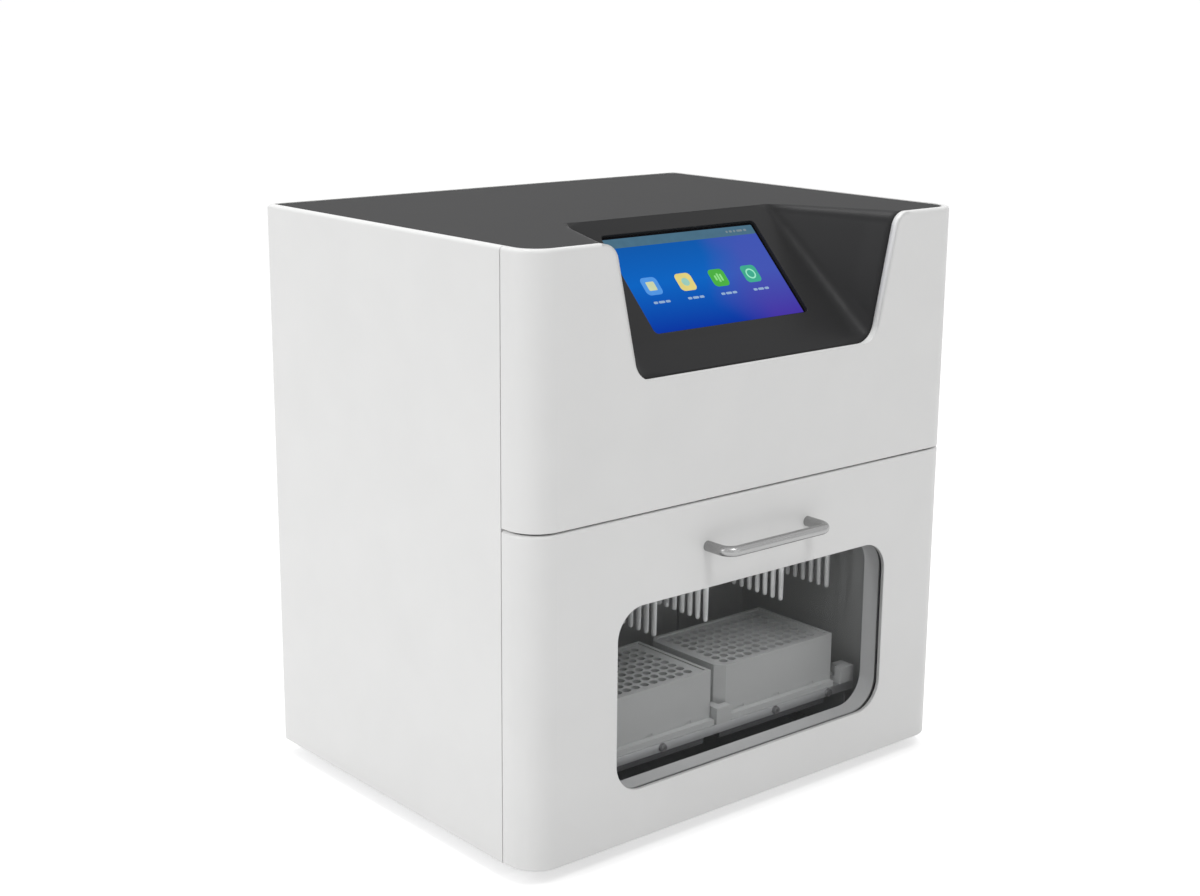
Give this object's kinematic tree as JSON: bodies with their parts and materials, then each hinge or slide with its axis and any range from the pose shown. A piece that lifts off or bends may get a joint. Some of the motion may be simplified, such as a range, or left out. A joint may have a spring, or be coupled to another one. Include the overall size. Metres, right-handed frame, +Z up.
{
  "type": "nucleic acid extractor",
  "caption": "Bench nucleic acid extractor: magnet rods in sleeves over deep-well plates behind a drop-down windowed door, with a sloping touch screen on top.",
  "frame": {"origin": "bottom centre of the whole object, in the plane of the feet", "axes": "+Z up, -Y towards the door and the user, +X to the right as the user faces the door"},
  "size_m": [0.436, 0.366, 0.457],
  "materials": {
    "cover_plastic": "satin",
    "dark_plastic": "matte",
    "display_glass": "gloss",
    "painted_steel": "satin",
    "rear_paint": "satin",
    "chamber_paint": "satin",
    "bare_steel": "satin",
    "handle_steel": "satin",
    "aluminium": "satin",
    "heater_metal": "satin",
    "case_metal": "satin",
    "foot_rubber": "matte",
    "gasket_rubber": "matte",
    "belt_rubber": "matte",
    "black_plastic": "matte",
    "plate_plastic": "satin",
    "sleeve_plastic": "gloss",
    "grey_plastic": "satin",
    "liner_plastic": "satin",
    "window_glass": "gloss",
    "lamp_glass": "gloss",
    "motor_black": "satin",
    "board_green": "satin",
    "guard_wire": "satin",
    "rocker_red": "gloss"
  },
  "bodies": {
    "root": {"base_tray": "painted_steel", "rubber_feet": "foot_rubber", "chassis_screws": "bare_steel", "left_side_cover": "cover_plastic", "right_side_cover": "cover_plastic", "rear_cover": "rear_paint", "upper_front_cover": "cover_plastic", "top_cover": "dark_plastic", "touch_display": "display_glass", "chamber_walls": "chamber_paint", "deck_plate": "aluminium", "deck_supports": "painted_steel", "heater_blocks": "heater_metal", "plate_locators": "grey_plastic", "left_well_plate": "plate_plastic", "right_well_plate": "plate_plastic", "gantry_uprights": "painted_steel", "gantry_beam": "aluminium", "x_rails": "bare_steel", "x_motor": "motor_black", "x_belt": "belt_rubber", "uv_lamp": "lamp_glass", "uv_lamp_clips": "bare_steel", "power_supply": "case_metal", "control_board": "board_green", "fan_frame": "black_plastic", "fan_guard": "guard_wire", "power_entry": "black_plastic", "hinge_brackets": "painted_steel", "hinge_pins": "bare_steel", "door_magnets": "bare_steel"},
    "drive_pulley": {"x_drive_pulley": "aluminium"},
    "idler_pulley": {"x_idler_pulley": "aluminium"},
    "fan": {"fan_rotor": "black_plastic"},
    "rocker": {"power_rocker": "rocker_red"},
    "door": {"door_shell": "cover_plastic", "door_liner": "liner_plastic", "door_window": "window_glass", "window_gasket": "gasket_rubber", "door_handle": "handle_steel", "handle_screws": "bare_steel", "hinge_ears": "bare_steel"},
    "carriage": {"carriage_bracket": "aluminium", "x_slide_blocks": "bare_steel", "z_motor": "motor_black", "z_rails": "bare_steel", "belt_clamp": "aluminium"},
    "lift_screw": {"z_screw": "bare_steel"},
    "sleeves": {"sleeve_frame": "aluminium", "z_slide_blocks": "bare_steel", "comb_holder": "grey_plastic", "sleeve_combs": "sleeve_plastic", "rod_rails": "bare_steel", "rod_motor": "motor_black"},
    "rod_lift_screw": {"rod_screw": "bare_steel"},
    "rods": {"rod_plate": "aluminium", "magnet_rods": "bare_steel"}
  },
  "joints": [
    {"name": "door_hinge", "type": "hinge", "parent": "root", "child": "door", "pos_m": [0, -0.146, 0.0165], "axis": [1, 0, 0], "range_deg": [0, 80]},
    {"name": "x_travel", "type": "slide", "parent": "root", "child": "carriage", "axis": [1, 0, 0], "range_m": [-0.063, 0]},
    {"name": "sleeve_lift", "type": "slide", "parent": "carriage", "child": "sleeves", "axis": [0, 0, 1], "range_m": [-0.075, 0]},
    {"name": "rod_lift", "type": "slide", "parent": "sleeves", "child": "rods", "axis": [0, 0, 1], "range_m": [-0.075, 0]},
    {"name": "x_drive_spin", "type": "hinge", "parent": "root", "child": "drive_pulley", "pos_m": [-0.15, 0.0315, 0.417], "axis": [0, 1, 0], "range_deg": [-1, 570]},
    {"name": "x_idler_spin", "type": "hinge", "parent": "root", "child": "idler_pulley", "pos_m": [0.15, 0.0315, 0.417], "axis": [0, 1, 0], "range_deg": [-1, 570]},
    {"name": "z_screw_turn", "type": "hinge", "parent": "carriage", "child": "lift_screw", "pos_m": [0.0405, -0.004, 0.312], "axis": [0, 0, 1], "range_deg": [-1, 3376]},
    {"name": "rod_screw_turn", "type": "hinge", "parent": "sleeves", "child": "rod_lift_screw", "pos_m": [0.0405, -0.051, 0.312], "axis": [0, 0, 1], "range_deg": [-1, 3376]},
    {"name": "fan_spin", "type": "hinge", "parent": "root", "child": "fan", "pos_m": [-0.095, 0.164, 0.312], "axis": [0, 1, 0], "continuous": true},
    {"name": "rocker_tilt", "type": "hinge", "parent": "root", "child": "rocker", "pos_m": [0.12, 0.178, 0.095], "axis": [1, 0, 0], "range_deg": [-14, 0]}
  ],
  "couplings": [
    {"joint": "x_drive_spin", "follows": "x_travel", "rad_per_m": -157.11},
    {"joint": "x_idler_spin", "follows": "x_travel", "rad_per_m": -157.11},
    {"joint": "z_screw_turn", "follows": "sleeve_lift", "rad_per_m": -785.4},
    {"joint": "rod_screw_turn", "follows": "rod_lift", "rad_per_m": -785.4}
  ]
}
